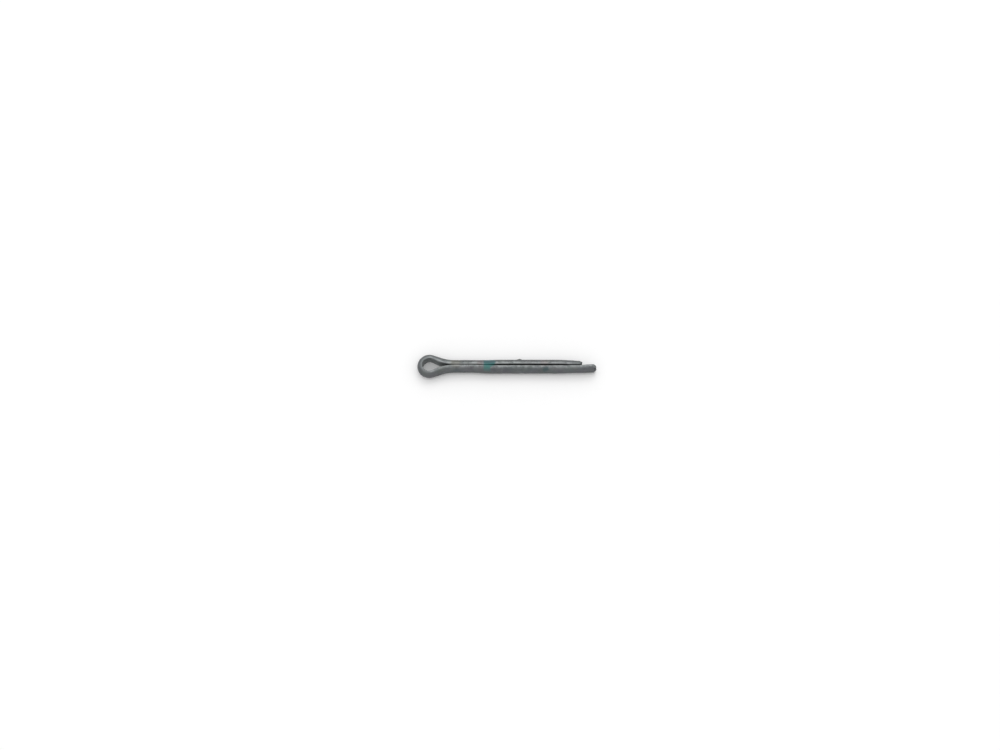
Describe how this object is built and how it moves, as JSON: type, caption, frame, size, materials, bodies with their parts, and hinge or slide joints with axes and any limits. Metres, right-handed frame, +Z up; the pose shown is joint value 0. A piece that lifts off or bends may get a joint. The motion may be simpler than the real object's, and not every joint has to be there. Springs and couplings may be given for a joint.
{
  "type": "cotter pin",
  "caption": "Split cotter pin of half-round steel wire, folded into a teardrop eye, with flat-faced legs side by side and unequal in length.",
  "frame": {"origin": "on the shank's axis at the neck, where the bend of the eye ends and the legs begin to run straight together", "axes": "+X along the shank from the eye to the legs' ends, +Y the way the legs part, towards the short leg, +Z up, along the eye's through axis, as the pin lies"},
  "size_m": [0.0401, 0.0054, 0.0028],
  "materials": {
    "zinc_plated_steel": "dull grey zinc plating on drawn wire, with fine drawing lines, handling marks and a small worn teal paint mark on the legs"
  },
  "bodies": {
    "root": {"cotter_pin": "zinc_plated_steel"}
  },
  "joints": []
}
